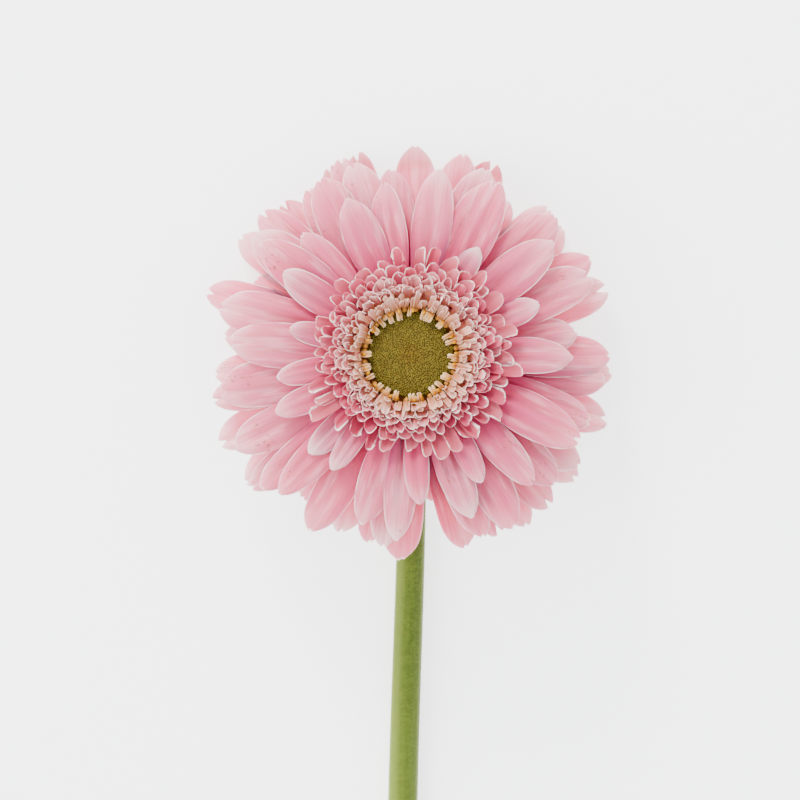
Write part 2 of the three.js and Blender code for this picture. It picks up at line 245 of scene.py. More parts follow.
def thin_sheet(middle, thick, marks):
    """A closed sheet from a grid of middle points and the thickness there; marks are named grids."""
    rows, columns = middle.shape[:2]
    lengthwise = np.gradient(middle, axis=0)
    crosswise = np.gradient(middle, axis=1)
    normal = np.cross(crosswise, lengthwise)
    normal /= np.linalg.norm(normal, axis=2, keepdims=True) + 1e-9
    offset = normal * (thick / 2)[..., None]
    points = np.concatenate(((middle + offset).reshape(-1, 3), (middle - offset).reshape(-1, 3)))
    cells = np.arange(rows * columns).reshape(rows, columns)
    a, b, c, d = (part.ravel() for part in (cells[:-1, :-1], cells[:-1, 1:], cells[1:, 1:], cells[1:, :-1]))
    under = rows * columns
    edge = np.concatenate((cells[0, :-1], cells[:-1, -1], cells[-1, :0:-1], cells[:0:-1, 0]))
    after = np.roll(edge, -1)
    faces = [
        np.column_stack((a, b, c, d)),
        np.column_stack((a, d, c, b)) + under,
        np.column_stack((edge, edge + under, after + under, after)),
    ]
    doubled = {}
    for name, grid in marks.items():
        doubled[name] = np.tile(np.broadcast_to(grid, (rows, columns)).ravel(), 2)
    doubled["upper"] = np.repeat((1.0, 0.0), under)
    return points, faces, doubled


def grown(name, parts, material, place=to_table, crease=55):
    """One mesh object from many (points, face blocks, marks), placed, smoothed and riding on the part."""
    points = np.concatenate([part[0] for part in parts])
    starts = np.cumsum([0] + [len(part[0]) for part in parts[:-1]])
    faces = [block + start for part, start in zip(parts, starts) for block in part[1]]
    mesh = bpy.data.meshes.new(name)
    mesh.from_pydata(place(points), [], [face for block in faces for face in block.tolist()])
    for mark in parts[0][2]:
        values = np.concatenate([part[2][mark] for part in parts]).astype(np.float32)
        mesh.attributes.new(mark, "FLOAT", "POINT").data.foreach_set("value", values)
    mesh.shade_smooth()
    mesh.set_sharp_from_angle(angle=math.radians(crease))
    mesh.materials.append(material)
    thing = put(name, mesh)
    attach(thing, "root")
    triangles = sum(len(block) * (block.shape[1] - 2) for block in faces)
    print(f"{name}: {len(parts)} bodies, {triangles} triangles")
    return thing


# %% [markdown]
# A blade of the flower runs out from the head along its bearing, which is counted clockwise from the top
# as the face is looked at. Its middle line rises and falls by a simple curve, its edges are lifted by an
# arch, and the whole is rolled a little sideways so that neighbours overlap like tiles. The tip is
# rounded by holding its outer points back, and the same grid takes pleats, teeth and a curl. The sheet
# thins to under half of its thickness over the last millimetre or so.

# %% Blades
EDGE_SHARE = 0.45
THINNING = 1.2
HOOK_FROM = 0.75


def held_back(v, share=0.97):
    """How far a round tip is held back across it, from none in the middle."""
    return 1 - np.sqrt(1 - share * v**2)


def blade(
    number, bearing, root, reach, width, thick, grid, shape, tip, height, arch, relief,
    roll=0, twist=0, bow=0, hook=0, tip_share=6, dense_tip=1, marks=None,
):
    """A thin sheet for one petal, lip or bract, growing along its bearing from its root to its reach.

    Its rules are functions of u, 0 at the root to 1 at the tip, and v, -1 to 1 across: shape is a share of
    the width, tip holds the end back, height is the middle line's, and arch and relief lift the rest.
    """
    rows, columns = grid
    u = 1 - (1 - np.linspace(0, 1, rows)[:, None]) ** dense_tip
    v = np.linspace(-1, 1, columns)[None, :]
    run = reach - root
    way = math.copysign(1, run)
    half = width / 2 * shape(u)
    along = root + run * u - way * tip(v) * u**tip_share
    along = along - way * hook * np.clip((u - HOOK_FROM) / (1 - HOOK_FROM), 0, 1) ** 2 * (1 - 0.5 * v**2)
    rolled = math.radians(roll) + math.radians(twist) * u
    lift = arch(u) * v**2 + relief(u, v)
    side = half * v * np.cos(rolled) - lift * np.sin(rolled) + bow * np.sin(math.pi * u)
    up = height(u) + half * v * np.sin(rolled) + lift * np.cos(rolled)
    turn = math.radians(bearing)
    x = along * math.sin(turn) + side * math.cos(turn)
    y = along * math.cos(turn) - side * math.sin(turn)
    rim = np.minimum((1 - np.abs(v)) * half, (1 - u) * abs(run) * 0.8 + 0 * v)
    thickness = thick * (EDGE_SHARE + (1 - EDGE_SHARE) * np.clip(rim / THINNING, 0, 1))
    resting = table_under(y) + thickness / 2 / math.cos(FACE_TIP)
    middle = np.stack((x, y, np.maximum(up, resting)), axis=-1)
    values = {
        "along": u + 0 * v,
        "across": v + 0 * u,
        "across_mm": half * v,
        "along_mm": np.abs(along - root),
        "inset_mm": rim,
        "chance": np.full((1, 1), draw(number + 7000)),
    }
    values.update({name: np.full((1, 1), value) for name, value in (marks or {}).items()})
    return thin_sheet(middle, thickness, values)


# %% [markdown]
# The ray florets are the petals that make the bloom. Each one here was read off the photograph by
# bearing, reach and width, with the cleft of its tip where it has one, and rooted in the whorl that it
# belongs to: the rear whorls droop, the front one stands up before it falls, and a few short ones lie
# on top. Placing them one by one, rather than by an even spacing, is what makes it this bloom.

# %% The rays as read: bearing, reach, width, cleft
RAYS = {
    "rear": (
        (1, 55.9, 11.6, 0.8), (23, 56.1, 11.4, 3.2), (50, 53.4, 11, 0.8),
        (71, 55.7, 11.4, 3.6), (95, 54, 11.6, 1.2), (108.5, 55.4, 10.8, 2.4), (127, 55.3, 9.6, 2),
        (145.5, 55.3, 9.8, 1.4), (164, 53.4, 10.6, 1), (193, 51.3, 8.6, 1.2), (202, 50.9, 9.6, 1.6),
        (217, 48.1, 9.4, 1.2), (232.5, 55.9, 10.4, 1.2), (245.8, 56.5, 10.4, 2.8),
        (264.5, 52.8, 10.2, 1.2), (287.8, 57.3, 10.2, 2.6), (305, 55.9, 11, 1.4),
        (320, 53.6, 10.4, 2.6), (336.5, 55.1, 10.2, 2), (344.6, 55.9, 9.4, 2.6),
    ),
    "back": (
        (14.5, 55.4, 10.6, 1.2), (31.5, 48.6, 10, 1), (43, 53.8, 10.6, 1.6),
        (61.5, 54.4, 10.4, 0.8), (90, 52.9, 11.2, 1), (97.5, 52.1, 10.6, 1),
        (123.5, 53.6, 10.2, 1.2), (137.5, 54.6, 10.2, 3), (153.5, 53, 9.6, 3.2),
        (171, 39.5, 9, 1.2), (183, 54.4, 11.4, 0.8), (230, 55.2, 9.4, 1.6), (257.5, 54, 9.8, 2.2),
        (276, 49.9, 10.4, 1), (296, 46.2, 9.6, 1), (313.5, 55.2, 10.6, 2.8), (328, 52.1, 9.6, 1.2),
        (340, 55.6, 9.8, 2), (354, 49.8, 9.4, 1),
    ),
    "middle": (
        (22, 53.2, 12, 1.2), (46, 52.9, 12.2, 0.8), (66, 51.7, 12, 3), (82, 44.2, 10, 1),
        (110.5, 50.5, 10.4, 1.2), (131.5, 51.2, 10.6, 1), (149, 53, 10.8, 1), (158.5, 51.6, 9.6, 1),
        (188, 51, 9.6, 1.6), (210, 53.6, 10.6, 0.8), (228.5, 52.9, 9.2, 0.8),
        (242.5, 52.6, 11, 1.2), (259.5, 51.4, 12.6, 2.4), (284.5, 52.2, 12.4, 2),
        (307.5, 52.4, 12.4, 1.6), (332.5, 52.4, 12.6, 1.2), (343.5, 52.9, 11.6, 2.2),
    ),
    "front": (
        (8.5, 49.4, 10.6, 0.5), (26, 50.7, 13.6, 3), (51.5, 47.7, 11.6, 0.5), (91, 42.5, 9.6, 0.4),
        (117.5, 49.8, 11.6, 2.6), (136.5, 46.5, 9, 2.4), (159.5, 45.7, 9, 0.5),
        (184.4, 48.9, 8.8, 0.4), (196, 46.3, 9.8, 0.4), (223.5, 50.3, 9.4, 0.6),
        (273.5, 47.5, 12, 4.2), (306.5, 49.3, 11.4, 1), (318, 42.8, 9.2, 1),
        (337.5, 44.4, 10.6, 0.4), (350.5, 45.7, 9, 1.4),
    ),
    "short": (
        (32, 33, 6.6, 0.2), (68, 36.1, 7.2, 0.6), (151, 38.2, 6.4, 0.4),
        (177, 39, 6.6, 0.2), (214.5, 36.4, 6.2, 0.2), (225.5, 37.2, 7, 0.6), (247, 38.4, 7.2, 0.2),
        (260, 35.4, 6.6, 0.2), (282, 32.6, 6.2, 0.5), (302.5, 39.8, 8.6, 0.5),
    ),
}

# %% [markdown]
# A petal of a gerbera starts as a claw, is widest past the middle and ends rounded, with two or three
# tiny teeth where the lobes that it is fused from end. Two or three shallow pleats run along it between
# those lobes, and each petal bends a little in its own way. Neighbours curl alike, as they lie on each
# other: if each curled by chance, their tips would cross.

# %% Ray florets
RAY_ROOT = 12.6
RAY_THICK = 0.34
RAY_ROWS = 34
RAY_COLUMNS = 17
# height of the root, rise and drop of the middle line, fullness of the outer half, share left at the tip
WHORLS = {
    "rear": (0.5, 1, 16.5, 3.4, 0.28),
    "back": (1.6, 2, 11.5, 3.2, 0.28),
    "middle": (2.8, 4, 8.5, 2.8, 0.26),
    "front": (4, 6.4, 6, 2.0, 0.18),
    "short": (4.4, 5.6, 2.6, 2.4, 0.28),
}


def rounded(u, full, end):
    """Width along a petal as a share of its widest; full keeps its tip broad, end is left at the tip."""
    widest = 0.6
    claw = 0.42 + 0.58 * np.sin(math.pi / 2 * np.minimum(u, widest) / widest) ** 1.8
    past = np.clip((u - widest) / (1 - widest), 0, 1)
    return claw * np.sqrt(1 - (1 - end**2) * past**full)


def ray(whorl, number, bearing, reach, width, cleft):
    """One petal."""
    root_height, rise, drop, full, blunt = WHORLS[whorl]
    end = blunt + 0.06 * cleft
    order = list(WHORLS).index(whorl)
    lift = 0.25 * sway(number)
    pleats = 2 + (draw(number + 40) > 0.6)
    depth = (0.26 + 0.26 * draw(number + 60)) * width / 11
    edge = 0.25 + 0.35 * draw(number + 65)
    alike = math.sin(math.radians(4 * bearing) + 1.7 * order)
    curl = 0.8 * draw(number + 80) if whorl == "short" else 0.8 * alike + 0.2 * sway(number + 80)
    wave = 0.5 * sway(number + 100)
    notch = max(0.0, cleft - 0.4)
    notch_half = 0.3 + 0.12 * draw(number + 170)
    split = 0.22 * sway(number + 175)
    uneven = (0.3 + 0.2 * min(cleft, 2)) * sway(number + 160)

    def tip(v):
        rounding = 0.15 * width * held_back(v)
        teeth = 0.08 * (1 - np.cos(2 * math.pi * (1.5 * v + 0.5)))
        cut = notch * np.clip(1 - np.abs(v - split) / notch_half, 0, 1)
        return rounding + teeth + cut + min(cleft, 0.4) + uneven * v

    def relief(u, v):
        fade = np.sin(math.pi * np.clip(u * 1.06, 0, 1)) ** 0.6
        grooves = -depth * np.cos(2 * math.pi * pleats / 2 * v + math.pi * (pleats % 2)) * fade
        raised_edge = edge * np.abs(v) ** 6 * fade
        return grooves + raised_edge + curl * u**5 + wave * v * np.sin(2 * math.pi * u) * u

    return blade(
        number=number,
        bearing=bearing,
        root=RAY_ROOT,
        reach=reach,
        width=width,
        thick=RAY_THICK,
        shape=lambda u: rounded(u, full, end),
        tip=tip,
        bow=0.5 * sway(number + 120),
        roll=6 + 2 * sway(number + 500),
        twist=4 * sway(number + 140),
        height=lambda u: root_height + lift + rise * u - drop * u**2,
        arch=lambda u: 0.6 - 1.4 * u,
        relief=relief,
        marks={"order": order / (len(WHORLS) - 1)},
        grid=(RAY_ROWS, RAY_COLUMNS),
    )


rays = []
number = 0
for whorl, read in RAYS.items():
    for bearing, reach, width, cleft in read:
        number += 1
        rays.append(ray(whorl, number, bearing, reach, width, cleft))

# %% [markdown]
# Petal skin is a single layer of domed cells over watery tissue, so its gloss is soft, and it lets light
# through: where petals lie over each other the gap between them glows, helped by painted shade. The
# pigment varies in soft streaks and is strongest at the claw. Over it a deep rose is painted as shade,
# tinted like the light let through: on the lower halves, most of all in the whorls behind, and along the
# claw's sides where the gaps are. The foremost petals, the short ones on top, which catch the most light,
# are painted deeper almost to the tip. Veins lie about a third of a millimetre apart and are drawn a little
# coarser, at half a millimetre, so that they show. Some tips are paler, partly as a painted highlight, a few
# small bruises lie where a coarse and a fine noise are both high, and a pale line runs along parts of the
# edge, partly the pale margin and partly a painted highlight where the edge catches the light. One painted
# image would repeat on every petal; noise in each petal's own millimetres is new on each.

# %% Petal finish
VEIN_SPACING = 0.5
VEIN_LENGTH = 14.0
PETAL_STOPS = [(0, "#a41e44"), (0.4, "#b43858"), (0.55, "#c2526d"), (0.75, "#c8647a"), (1, "#d98494")]
# deep rose: the claw's pigment, and painted shade in the gaps and hidden whorls
DEEP_PINK_AND_SHADE = "#bc3660"
FLUSH = "#cc4a78"
PALLOR = "#eaacb4"
VEIN = "#bb4266"
# pale margin colour, also used as a painted highlight on tips and edges
PALE_RIM_AND_HIGHLIGHT = "#fad0cb"
BRUISE = "#8a4f38"


def grain(tree, axes, detail):
    """Noise that is fixed to the mesh: each axis is a value that it carries and the grains to its unit."""
    steps = [add(tree, "ShaderNodeMath", {0: mark, 1: fine}, operation="MULTIPLY") for mark, fine in axes]
    place = add(tree, "ShaderNodeCombineXYZ", dict(enumerate(steps)))
    return add(tree, "ShaderNodeTexNoise", {"Vector": place, "Scale": 1.0, "Detail": detail}, out="Fac")


def along_blade(tree, spacing, length, seed_gain=37.0, detail=3.0):
    """Noise in a blade's own millimetres, so wide across it and so long along it, new on each blade."""
    axes = (("across_mm", 1 / spacing), ("along_mm", 1 / length), ("chance", seed_gain))
    return grain(tree, axes, detail)


def margin(tree, side_mm, tip_mm):
    """The range of a margin that is narrow at the sides and wide at the tip: 1 at the edge, 0 inside."""
    width = stretched(tree, ("along", 0.45, 1, side_mm, tip_mm))
    share = add(tree, "ShaderNodeMath", {0: "inset_mm", 1: width}, operation="DIVIDE")
    return share, 0.2, 1, 1, 0


def petal_finish():
    """Living petal: pigment, streaks, veins, painted shade in the gaps, a pale edge partly a painted
    highlight, light let through.
    """
    constants = {
        "Roughness": 0.55,
        "IOR": 1.42,
        "Specular IOR Level": 0.14,
        "Subsurface Weight": 0.7,
        "Subsurface Radius": (1.0, 0.35, 0.42),
        "Subsurface Scale": 0.002,
    }
    material, tree, shader = finish("gerbera_petal", constants)
    streaks = along_blade(tree, 2.2, 14.0, 71.0, 2.0)
    veins = along_blade(tree, VEIN_SPACING, VEIN_LENGTH)
    bruised = along_blade(tree, 6.0, 9.0, 91.0, 1.0)
    specks = along_blade(tree, 0.7, 1.0, 53.0, 2.0)
    patches = along_blade(tree, 4.0, 6.0, 29.0, 1.0)
    skin = glazed(
        tree,
        add(tree, "ShaderNodeValToRGB", {"Fac": "along"}, stops=PETAL_STOPS),
        (FLUSH, (streaks, 0.5, 0.66, 0, 0.42)),
        (PALLOR, (streaks, 0.5, 0.34, 0, 0.34)),
        (PALLOR, ("chance", 0, 1, 0, 0.2)),
        # partly claw pigment, partly painted shade: deeper on the lower halves, most in the whorls behind
        (DEEP_PINK_AND_SHADE, ("along", 0.3, 0.7, 0.95, 0), ("order", 0.2, 1, 1, 0.5)),
        # painted shade, tinted like light let through, along the claw's sides where the gaps between petals
        # are
        (DEEP_PINK_AND_SHADE, ("inset_mm", 0.2, 2.4, 0.75, 0), ("along", 0.35, 0.75, 1, 0)),
        # painted shade: the short petals on top, which catch the most light, are made deeper
        (DEEP_PINK_AND_SHADE, ("order", 0.76, 1, 0, 0.5), ("along", 0.5, 0.95, 1, 0)),
        (VEIN, (veins, 0.5, 0.7, 0, 0.42)),
        # paler tips, partly a painted highlight
        (PALE_RIM_AND_HIGHLIGHT, ("along", 0.8, 1), ("chance", 0.2, 1, 0.1, 0.5)),
        (BRUISE, (bruised, 0.62, 0.7), (specks, 0.58, 0.68, 0, 0.7)),
        # pale edge line: partly the margin's own colour, partly a painted highlight where the edge catches
        # light
        (PALE_RIM_AND_HIGHLIGHT, margin(tree, 0.2, 0.6), (patches, 0.35, 0.65, 0.1, 0.75), ("along", 0.35, 0.65)),
    )
    bump = add(tree, "ShaderNodeBump", {"Height": veins, "Strength": 0.45, "Distance": 0.0004})
    fill(tree, shader, {"Base Color": skin, "Normal": bump})
    return material


ray_florets = grown("ray_petals", rays, petal_finish())
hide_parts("ray_florets")

# %% [markdown]
# The floor that the petals grow from, and the cup under it, are round. A lathe would turn them, and so
# does this helper: it spins a profile of radius and height round the head's axis and closes both ends.
# Blender's Screw modifier would do it too, but built this way they join a mesh with the blades. A second
# helper closes the profile on itself, for rings. The floor is a brownish orange and only shows in gaps. A
# turned body has no edge or veins of its own, so it carries values that keep those away.

# %% Turned pieces
CUP_RADIUS = 16
CUP_TOP = -1
FIT_GAP = 0.3
RAY_CORE_TOP = 6.2
LATHE_SIDES = 64
PLAIN_BODY = {"across": 0, "across_mm": 0, "along_mm": 0, "inset_mm": 9, "upper": 1}


def tube_faces(rings, sides):
    """Faces between so many rings of points, and across the first and the last."""
    cells = np.arange(rings * sides).reshape(rings, sides)
    after = np.roll(cells, -1, axis=1)
    walls = np.column_stack([part.ravel() for part in (cells[:-1], after[:-1], after[1:], cells[1:])])
    return [walls, cells[:1, ::-1], cells[-1:]]


def spun(profile, marks):
    """A closed turned piece from (radius, height) points; its ends are discs."""
    turns = np.arange(LATHE_SIDES) * 2 * math.pi / LATHE_SIDES
    rings = np.array([[(r * math.cos(t), r * math.sin(t), z) for t in turns] for r, z in profile])
    points = rings.reshape(-1, 3)
    values = {name: np.full(len(points), float(value)) for name, value in marks.items()}
    return points, tube_faces(len(profile), LATHE_SIDES), values


def ring_body(profile, marks):
    """A closed turned ring: the profile's last point joins its first."""
    points, (walls, _, _), values = spun(profile, marks)
    first = np.arange(LATHE_SIDES)
    last = first + len(points) - LATHE_SIDES
    closing = np.column_stack((last, np.roll(last, -1), np.roll(first, -1), first))
    return points, [walls, closing], values


receptacle_looks = {"Base Color": "#b0683c", "Roughness": 0.7, "Specular IOR Level": 0.1}
receptacle = finish("gerbera_receptacle", receptacle_looks)[0]
floor_profile = [(CUP_RADIUS, CUP_TOP + FIT_GAP), (CUP_RADIUS, RAY_CORE_TOP)]
flower_floor = grown("flower_floor", [spun(floor_profile, {})], receptacle)
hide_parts("ray_florets")

# %% [markdown]
# Inside the petals stands a ring of short florets in five rows. The outer ones are small hooded spoons:
# a claw, then a cupped bowl with a rounded rim, of which the rose inside shows. Toward the eye they stand
# steeper and are flatter, paler and more folded and curled. The outermost are uneven and read off the
# photograph; the rows within are placed by count, each in the gaps of the last. The solid has fewer in a
# row; the real ones are crowded, so there are more here.

# %% Collar florets
COLLAR_RING = (13.4, 15.4)
COLLAR_LEAN = 0.035
SPOON_THICK = 0.22
CRIMP_THICK = 0.24
RING_OUTER_HIGH = 3.0
RING_INNER_HIGH = 3.9
RING_BEVEL = 0.8
# bearing, reach and width of each outermost spoon
COLLAR_EDGE = [
    (354, 28.2, 4.2), (6.8, 27.9, 3.4), (13, 28.6, 3.4), (25, 28.2, 4.2), (33, 26, 3.6), (41, 28.8, 3.2),
    (49, 26.2, 3.8), (58.5, 28.3, 4), (67, 26, 3.8), (76, 28.3, 3.8), (86, 26, 3.8), (94, 26.6, 3.8),
    (100.5, 29.4, 3.6), (108, 26, 3.8), (116, 27.2, 4), (125, 29, 4), (133, 26.4, 3.8), (141, 27.4, 3.8),
    (148, 26.2, 3.6), (154.5, 27.9, 3.6), (161.5, 28.3, 4), (169, 27, 3.4), (181, 25, 3.6), (194, 26.4, 3.4),
    (206, 27.2, 3.6), (218, 26, 3.8), (229, 27.4, 3.6), (236, 31, 4), (243.5, 27.6, 3.6), (251, 28.2, 3.4),
    (262, 25.2, 3.8), (272, 25.2, 3.8), (282, 25.6, 3.6), (291, 26.6, 4), (305.5, 25.8, 3.6),
    (314.5, 27.4, 3.6), (323.5, 25.2, 3.6), (333, 25.6, 3.6), (343, 25.6, 3.6),
]
# the five rows from the outside in; height is that of the root, then the middle line's rise and drop
COLLAR_ROWS = [
    {"count": len(COLLAR_EDGE), "height": (7.5, 4.4, 3.0), "crumple": 0.7},
    {"count": 42, "reach": 23.4, "ragged": 1.0, "width": 3.8, "height": (8.3, 5.0, 2.6), "crumple": 0.9},
    {"count": 40, "reach": 21.4, "ragged": 0.8, "width": 3.6, "height": (9.0, 5.2, 2.0), "crumple": 1.2},
    {"count": 38, "reach": 19.5, "ragged": 0.6, "width": 3.3, "height": (9.5, 5.2, 1.4), "crumple": 1.4},
    {"count": 34, "reach": 17.7, "ragged": 0.4, "width": 3.2, "height": (9.8, 4.6, 0.8), "crumple": 1.6},
]
collar_root = sum(COLLAR_RING) / 2


def spoon_width(u):
    """Narrow claw, then a bowl."""
    return 0.5 + 0.45 * np.sin(math.pi / 2 * np.clip((u - 0.1) / 0.65, 0, 1)) ** 1.5


def spoon_number(r, i):
    """What the ith spoon of row r draws its differences by."""
    return 1000 + 100 * r + i


def collar_place(row, r, i):
    """Bearing, reach and width of the ith spoon of row r."""
    if r == 0:
        return COLLAR_EDGE[i]
    number = spoon_number(r, i)
    bearing = (i + 0.5 * (r % 2) + 0.16 * sway(number)) * 360 / row["count"]
    longer = 1 + COLLAR_LEAN * math.cos(math.radians(bearing))
    reach = row["reach"] * longer + row["ragged"] * sway(number + 10)
    return bearing, reach, row["width"] * (1 + 0.08 * sway(number + 20))


def spoon(row, r, i):
    """One cupped floret of row r."""
    number = spoon_number(r, i)
    bearing, reach, width = collar_place(row, r, i)
    root_height, rise, drop = row["height"]
    crumple = row["crumple"]
    width *= 0.98 + 0.24 * sway(number + 70)
    inward = r / (len(COLLAR_ROWS) - 1)
    cup = (0.35 + 0.9 * draw(number + 40)) * (1 - 0.7 * inward)
    hood = (0.3 + 1.2 * draw(number + 50)) * (1 - inward)
    hook = 0.8 * draw(number + 52)
    fold = (0.3 + 0.5 * crumple) * sway(number + 58)
    curled_side = math.copysign(1.0, sway(number + 54))
    curl = 0.3 + 0.9 * draw(number + 56)
    wave = 0.35 * crumple * sway(number + 80)
    point = 0.45 + 0.7 * draw(number + 90) ** 2
    lean = 0.9 * sway(number + 95)
    frill = 0.12 * crumple * draw(number + 97)
    notch = 0.55 * draw(number + 98) if draw(number + 99) > 0.6 else 0.0

    def tip(v):
        rounding = point * width * held_back(v)
        frilled = frill * (1 - np.cos(3 * math.pi * v))
        return rounding + lean * v + frilled + notch * np.exp(-(((v - 0.2 * lean) / 0.22) ** 2))

    def relief(u, v):
        hooded = hood * u**6 * (1 - 0.4 * v**2)
        waved = wave * u * np.sin(math.pi * (1.6 * v + u))
        curled = curl * u**2 * np.clip(curled_side * v, 0, 1) ** 3
        return hooded + waved + fold * u * np.abs(v) + curled

    return blade(
        number=number,
        bearing=bearing + (0.8 + 1.5 * crumple) * sway(number + 25),
        root=collar_root,
        reach=reach + 0.6 * hook,
        width=width,
        thick=SPOON_THICK,
        shape=spoon_width,
        tip=tip,
        tip_share=4,
        dense_tip=1.6,
        hook=hook,
        roll=12 + 20 * sway(number + 30),
        twist=22 * crumple * sway(number + 60),
        height=lambda u: root_height + rise * u - drop * u**2,
        arch=lambda u: cup * u**1.3,
        relief=relief,
        marks={"row": inward},
        grid=(13, 11),
    )


# %% [markdown]
# Small pale lobes stand curled in the throats of the inner spoons, more of them toward the eye. Each is
# half of the pair that the floret's other lip is split into, so it is shaken to one side.

# %% Crimped lobes
CRIMP_SHARE = 0.14


def crimp(row, r, i, side):
    """A small pale lobe of the ith spoon of row r, to one side of its middle."""
    number = spoon_number(r, i) + 37 * side
    bearing, reach, _ = collar_place(row, r, i)
    root_height, rise, drop = row["height"]
    u_foot = 0.42 + 0.16 * sway(number + 600)
    foot = collar_root + (reach - collar_root) * u_foot
    foot_height = root_height + rise * u_foot - drop * u_foot**2
    reared = 1.6 + 1.0 * draw(number + 610)
    curl = 0.3 * sway(number + 615)
    lopsided = 0.5 * sway(number + 617)
    return blade(
        number=number + 600,
        bearing=bearing + side * (2.4 + 1.6 * draw(number + 620)),
        root=foot,
        reach=foot + 0.6 + 1.8 * draw(number + 630),
        width=1.6 + 1.2 * draw(number + 640),
        thick=CRIMP_THICK,
        shape=lambda u: 0.6 + 0.4 * np.sin(math.pi / 2 * u),
        tip=lambda v: 0.7 * v**2 + lopsided * v,
        tip_share=3,
        roll=30 * sway(number + 650),
        twist=45 * sway(number + 660),
        height=lambda u: foot_height + 0.1 + reared * u - 0.5 * u**2,
        arch=lambda u: 0.7 * u,
        relief=lambda u, v: curl * u * np.sin(math.pi * v),
        marks={"row": min(1.0, 0.5 + 0.6 * r / (len(COLLAR_ROWS) - 1))},
        grid=(6, 5),
    )


collar, crimps = [], []
for r, row in enumerate(COLLAR_ROWS):
    for i in range(row["count"]):
        collar.append(spoon(row, r, i))
        if r > 0:
            chances = {side: draw(spoon_number(r, i) + 700 + side) for side in (-1, 1)}
            crimps += [crimp(row, r, i, side) for side in chances if chances[side] < CRIMP_SHARE * r]
print("collar:", len(collar), "spoons and", len(crimps), "crimped lobes")

# %% [markdown]
# The spoons have the petals' skin with more pigment in the bowl, and the rows fade to peach and pink
# toward the eye. The rose is darkest at the claw, under the spoon above, partly pigment and partly painted
# shade, and the tips are painted lighter as a painted highlight. The pale rim is drawn by its true distance
# from the edge, a quarter of a millimetre at the sides and half a millimetre at the tip, on the side that is
# rolled out and in patches; it is partly the pale margin and partly a painted highlight where the curled
# edge catches the light. The ring that they are rooted in is the crowd of their tubes, which hardly shows,
# so one turned ring stands for it.

# %% Collar finish
# darkest at the claw: partly pigment, partly painted shade under the spoon above
ROSE_SHADED_STOPS = [(0, "#8a1636"), (0.5, "#96203e"), (0.8, "#a42c4a"), (1, "#b4425e")]
PEACH_STOPS = [(0, "#b8703a"), (0.3, "#ba6450"), (0.5, "#c06a68"), (0.75, "#cc8480"), (1, "#ecc2b6")]


def collar_finish():
    """The short florets' skin: rose in the outer bowls with painted shade at the claw, peach toward the eye,
    and a pale rolled rim, partly a painted highlight.
    """
    constants = {
        "Roughness": 0.5,
        "IOR": 1.42,
        "Specular IOR Level": 0.25,
        "Subsurface Weight": 0.5,
        "Subsurface Radius": (1.0, 0.35, 0.42),
        "Subsurface Scale": 0.001,
    }
    material, tree, shader = finish("gerbera_collar_petal", constants)
    peach = add(tree, "ShaderNodeValToRGB", {"Fac": "along"}, stops=PEACH_STOPS)
    streaks = along_blade(tree, 0.4, 4.0)
    patches = along_blade(tree, 0.9, 1.5, 17.0, 1.0)
    turned_side = stretched(tree, ("chance", 0.45, 0.55, -1, 1))
    rolled_out = add(tree, "ShaderNodeMath", {0: "across", 1: turned_side}, operation="MULTIPLY")
    # pale rim: partly the margin's own colour, partly a painted highlight on the curled side
    rim = (
        margin(tree, 0.26, 0.55),
        ("along", 0.5, 0.95, 0.05, 1),
        (rolled_out, -0.6, 0.5),
        (patches, 0.35, 0.55, 0.2, 1),
        ("row", 0.2, 0.9, 1, 0.6),
    )
    bowl = glazed(
        tree,
        # rose ramp: partly pigment, partly painted shade toward the claw
        add(tree, "ShaderNodeValToRGB", {"Fac": "along"}, stops=ROSE_SHADED_STOPS),
        (peach, ("row", 0.4, 1)),
        ("#a03450", (streaks, 0.5, 0.7, 0, 0.35)),
        ("#dc9494", ("chance", 0.2, 1, 0, 0.15)),
        # painted highlight: the tips lighter
        ("#e09c9c", ("along", 0.65, 1, 0, 0.22), ("chance", 0, 1, 0.2, 1)),
        ("#e8a4a0", ("upper", 0, 1, 0.25, 0)),
        # pale rim, partly a painted highlight
        ("#fedcd6", *rim),
    )
    fill(tree, shader, {"Base Color": bowl})
    return material


ring_base = RAY_CORE_TOP + FIT_GAP
collar_inner, collar_outer = COLLAR_RING
ring_profile = [
    (collar_inner, ring_base),
    (collar_outer, ring_base),
    (collar_outer, ring_base + RING_OUTER_HIGH),
    (collar_inner + RING_BEVEL, ring_base + RING_INNER_HIGH),
    (collar_inner, ring_base + RING_INNER_HIGH),
]
collar.append(ring_body(ring_profile, {**PLAIN_BODY, "along": 0.4, "chance": 0.2, "row": 1}))

collar_skin = collar_finish()
collar_florets = grown("collar_spoons", collar, collar_skin)
collar_crimps = grown("collar_crimps", crimps, collar_skin)
for piece in (collar_florets, collar_crimps):
    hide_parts("collar_florets")

# %% [markdown]
# The innermost open florets have two lips. The outer lip is a short pale tongue; the inner one is a
# narrow ribbed ribbon that curls in over the eye. Between them stands a yellow tube of stamens. The
# brownish gaps are the florets' own tubes, seen from above. On the eye's left side the ring stands a little
# farther out. One function makes both kinds of lip, and a form says how ruffled, rolled and blunt each is.

# %% Cream florets
LIP_RING = (11.65, 12.8)
LIP_COUNT = 24
LIP_NUMBERS = 2000  # the first of the numbers that these florets draw their differences by
LIP_TOP = 10.4
LIP_THICK = 0.24
LIP_FORM = {"wave": 0.5, "roll": 42, "twist": 55, "groove": 0.1, "blunt": 0.5, "loose": 0.4, "columns": 7}
RIBBON_FORM = {"wave": 0.2, "roll": 30, "twist": 40, "groove": 0.12, "blunt": 0.3, "loose": 0, "columns": 9}
lip_root = sum(LIP_RING) / 2


def to_the_left(bearing):
    """How far a bearing is on the eye's left side, where the ring of lips stands a little farther out."""
    return math.exp(-(((bearing % 360 - 248) / 44) ** 2))


